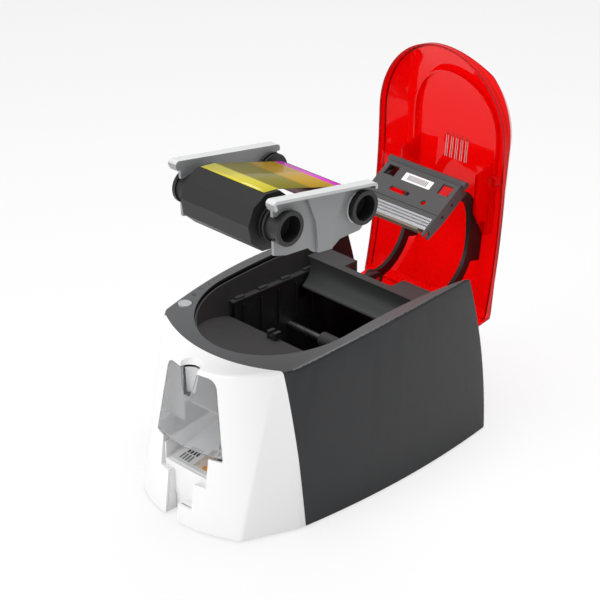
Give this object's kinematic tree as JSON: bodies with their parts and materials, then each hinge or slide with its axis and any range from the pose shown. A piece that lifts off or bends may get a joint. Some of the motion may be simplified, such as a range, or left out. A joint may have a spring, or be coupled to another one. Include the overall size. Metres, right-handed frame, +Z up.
{
  "type": "id card printer",
  "caption": "Desktop card printer with a hinged arched lid, lift-out ribbon cassette, print head on the lid, smoked card hopper cover and front output slot.",
  "frame": {"origin": "on the table, below the middle of the casing", "axes": "+X to the right seen from the front, +Y to the rear, +Z up"},
  "size_m": [0.2624, 0.435, 0.4189],
  "materials": {
    "casing_white": "satin",
    "casing_dark": "fine texture",
    "liner_dark": "satin",
    "black_plastic": "matte",
    "lid_red": "clear tinted",
    "smoke_clear": "clear tinted",
    "light_plastic": "satin",
    "plate_grey": "satin",
    "foot_rubber": "matte",
    "roller_rubber": "matte",
    "shaft_steel": "ground",
    "heatsink_aluminium": "extruded",
    "head_ceramic": "glazed strip",
    "head_dark": "satin",
    "button_grey": "satin",
    "card_white": "glossy",
    "ribbon": "dyed film",
    "ribbon_roll": "dyed film"
  },
  "bodies": {
    "printer": {"base_tray": "casing_dark", "rubber_feet": "foot_rubber", "front_cover": "casing_white", "main_casing": "casing_dark", "bay_liner": "liner_dark", "frame_left": "black_plastic", "frame_right": "black_plastic", "rear_cradle": "liner_dark", "hinge_pins": "shaft_steel", "card_hopper": "light_plastic", "output_chute": "casing_white", "ribbon_sensor": "black_plastic", "power_socket": "black_plastic", "usb_socket": "light_plastic"},
    "lid": {"lid_shell": "lid_red", "lid_arm_left": "black_plastic", "lid_arm_right": "black_plastic", "head_carrier": "head_dark", "head_heatsink": "heatsink_aluminium", "thermal_head": "head_ceramic"},
    "platen": {"platen_shaft": "shaft_steel", "platen_roller": "roller_rubber"},
    "feed": {"feed_shaft": "shaft_steel", "feed_roller": "roller_rubber"},
    "cover": {"hopper_cover": "smoke_clear"},
    "button": {"power_button": "button_grey"},
    "card": {"printed_card": "card_white"},
    "cassette": {"cassette_plate_left": "plate_grey", "cassette_plate_right": "plate_grey", "supply_barrel": "casing_dark", "ribbon_film": "ribbon"},
    "supply": {"supply_spool": "black_plastic", "supply_roll": "ribbon_roll"},
    "takeup": {"takeup_spool": "black_plastic", "takeup_roll": "ribbon_roll"}
  },
  "joints": [
    {"name": "lid_hinge", "type": "hinge", "parent": "printer", "child": "lid", "pos_m": [0, 0.139, 0.153], "axis": [1, 0, 0], "range_deg": [0, 96]},
    {"name": "cassette_lift", "type": "slide", "parent": "printer", "child": "cassette", "axis": [-0.3336, 0.5551, -0.762], "range_m": [0, 0.2542]},
    {"name": "supply_spin", "type": "hinge", "parent": "cassette", "child": "supply", "pos_m": [0.0848, -0.17987, 0.3768], "axis": [1, 0, 0], "continuous": true},
    {"name": "takeup_spin", "type": "hinge", "parent": "cassette", "child": "takeup", "pos_m": [0.0848, -0.08233, 0.3674], "axis": [1, 0, 0], "continuous": true},
    {"name": "platen_spin", "type": "hinge", "parent": "printer", "child": "platen", "pos_m": [0, 0.052, 0.1112], "axis": [1, 0, 0], "continuous": true},
    {"name": "feed_spin", "type": "hinge", "parent": "printer", "child": "feed", "pos_m": [0, -0.044, 0.1112], "axis": [1, 0, 0], "continuous": true},
    {"name": "cover_hinge", "type": "hinge", "parent": "printer", "child": "cover", "pos_m": [0, -0.1632, 0.099], "axis": [1, 0, 0], "range_deg": [0, 40]},
    {"name": "button_press", "type": "slide", "parent": "printer", "child": "button", "axis": [0, 0, -1], "range_m": [0, 0.001], "stiffness_N_per_m": 300},
    {"name": "card_out", "type": "slide", "parent": "printer", "child": "card", "axis": [0, -0.9668, -0.2554], "range_m": [0, 0.06]}
  ],
  "couplings": [
    {"joint": "takeup_spin", "follows": "supply_spin", "ratio": 1.6},
    {"joint": "feed_spin", "follows": "platen_spin", "ratio": 1}
  ]
}
